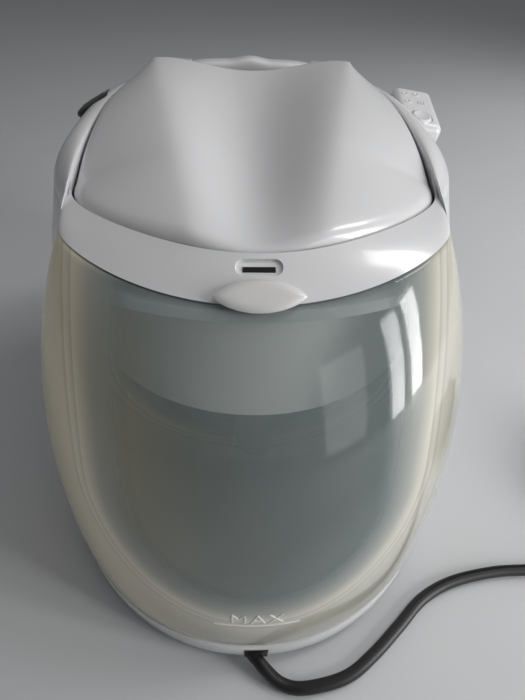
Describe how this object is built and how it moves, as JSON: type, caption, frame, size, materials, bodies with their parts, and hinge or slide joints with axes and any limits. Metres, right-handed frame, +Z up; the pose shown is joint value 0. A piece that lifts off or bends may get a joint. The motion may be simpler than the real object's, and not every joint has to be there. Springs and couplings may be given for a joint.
{
  "type": "steam and vacuum cleaner",
  "caption": "White wheeled canister cleaner for steam and suction with a translucent front water bucket that slides out, a hinged top lid, hose socket, carry handle and coiled mains cord.",
  "frame": {"origin": "on the floor under the middle of the casing", "axes": "+Z up, -Y towards the bucket at the front, +X to the right as seen from the front"},
  "size_m": [0.6876, 0.5146, 0.3294],
  "materials": {
    "white_casing": "gloss white",
    "frosted_bucket": "frosted translucent",
    "inner_plastic": "satin",
    "black_plastic": "satin black",
    "black_rubber": "smooth",
    "steel": "brushed",
    "brass": "turned",
    "grey_plastic": "moulded",
    "board_green": "board"
  },
  "bodies": {
    "body": {"base_tray": "white_casing", "rear_housing": "white_casing", "top_cover": "white_casing", "lid_bracket_left": "inner_plastic", "lid_bracket_right": "inner_plastic", "lid_pin_left": "steel", "lid_pin_right": "steel", "accessory_tray": "inner_plastic", "carry_handle": "white_casing", "control_pad": "white_casing", "hose_socket": "black_plastic", "steam_nozzle": "brass", "flap_pin": "steel", "rear_axle_left": "steel", "rear_axle_right": "steel", "vacuum_motor": "steel", "fan_case": "grey_plastic", "air_duct": "grey_plastic", "boiler_heater": "steel", "boiler": "steel", "steam_valve": "brass", "steam_pipe": "black_rubber", "water_tank": "frosted_bucket", "filler_neck": "inner_plastic", "water_pump": "grey_plastic", "pump_hose": "black_rubber", "power_board": "board_green", "exhaust_grille": "white_casing", "exhaust_filter": "inner_plastic", "cord_gland": "black_rubber", "cord_lead": "black_rubber", "cord_coil": "black_rubber", "cord_tail": "black_rubber", "plug": "black_rubber", "plug_pin_left": "steel", "plug_pin_right": "steel", "coil_tie": "black_rubber"},
    "bucket_unit": {"bucket": "frosted_bucket", "bucket_cover": "inner_plastic", "splash_guard": "inner_plastic", "strainer": "grey_plastic"},
    "bucket_latch": {"bucket_latch": "white_casing"},
    "lid": {"lid": "white_casing"},
    "lid_catch": {"lid_catch": "black_plastic"},
    "power_button": {"power_button": "white_casing"},
    "socket_flap": {"socket_flap": "black_rubber"},
    "rear_wheel_left": {"rear_wheel_left": "grey_plastic", "rear_tyre_left": "black_rubber"},
    "rear_wheel_right": {"rear_wheel_right": "grey_plastic", "rear_tyre_right": "black_rubber"},
    "caster_left": {"caster_fork_left": "grey_plastic", "caster_pin_left": "steel"},
    "caster_right": {"caster_fork_right": "grey_plastic", "caster_pin_right": "steel"},
    "caster_wheel_left": {"caster_wheel_left": "black_rubber"},
    "caster_wheel_right": {"caster_wheel_right": "black_rubber"},
    "fan": {"fan_wheel": "grey_plastic"},
    "filler_cap": {"filler_cap": "grey_plastic"}
  },
  "joints": [
    {"name": "lid_hinge", "type": "hinge", "parent": "body", "child": "lid", "pos_m": [0, 0.1435, 0.312], "axis": [-1, 0, 0], "range_deg": [0, 75]},
    {"name": "bucket_slide", "type": "slide", "parent": "body", "child": "bucket_unit", "axis": [0, -1, 0], "range_m": [0, 0.17]},
    {"name": "latch_flip", "type": "hinge", "parent": "bucket_unit", "child": "bucket_latch", "pos_m": [0, -0.15083, 0.26467], "axis": [1, 0, 0], "range_deg": [0, 40]},
    {"name": "lid_catch_press", "type": "slide", "parent": "body", "child": "lid_catch", "axis": [0, 0.4731, -0.881], "range_m": [0, 0.0015], "stiffness_N_per_m": 600},
    {"name": "power_button_press", "type": "slide", "parent": "body", "child": "power_button", "axis": [-0.1356, 0.2249, -0.9649], "range_m": [0, 0.002], "stiffness_N_per_m": 800},
    {"name": "socket_flap_hinge", "type": "hinge", "parent": "body", "child": "socket_flap", "pos_m": [-0.13262, 0.0952, 0.3045], "axis": [-0.8829, 0, -0.4695], "range_deg": [0, 100]},
    {"name": "rear_wheel_left_spin", "type": "hinge", "parent": "body", "child": "rear_wheel_left", "pos_m": [-0.137, 0.118, 0.062], "axis": [1, 0, 0], "continuous": true},
    {"name": "caster_left_swivel", "type": "hinge", "parent": "body", "child": "caster_left", "pos_m": [-0.08, -0.15, 0.03], "axis": [0, 0, 1], "continuous": true},
    {"name": "caster_wheel_left_spin", "type": "hinge", "parent": "caster_left", "child": "caster_wheel_left", "pos_m": [-0.08, -0.142, 0.0125], "axis": [1, 0, 0], "continuous": true},
    {"name": "rear_wheel_right_spin", "type": "hinge", "parent": "body", "child": "rear_wheel_right", "pos_m": [0.137, 0.118, 0.062], "axis": [1, 0, 0], "continuous": true},
    {"name": "caster_right_swivel", "type": "hinge", "parent": "body", "child": "caster_right", "pos_m": [0.08, -0.15, 0.03], "axis": [0, 0, 1], "continuous": true},
    {"name": "caster_wheel_right_spin", "type": "hinge", "parent": "caster_right", "child": "caster_wheel_right", "pos_m": [0.08, -0.142, 0.0125], "axis": [1, 0, 0], "continuous": true},
    {"name": "fan_spin", "type": "hinge", "parent": "body", "child": "fan", "pos_m": [-0.062, 0.012, 0.14], "axis": [0, 0, 1], "continuous": true},
    {"name": "filler_cap_turn", "type": "hinge", "parent": "body", "child": "filler_cap", "pos_m": [0, 0.1135, 0.29], "axis": [0, 0, 1], "range_deg": [0, 90]}
  ]
}
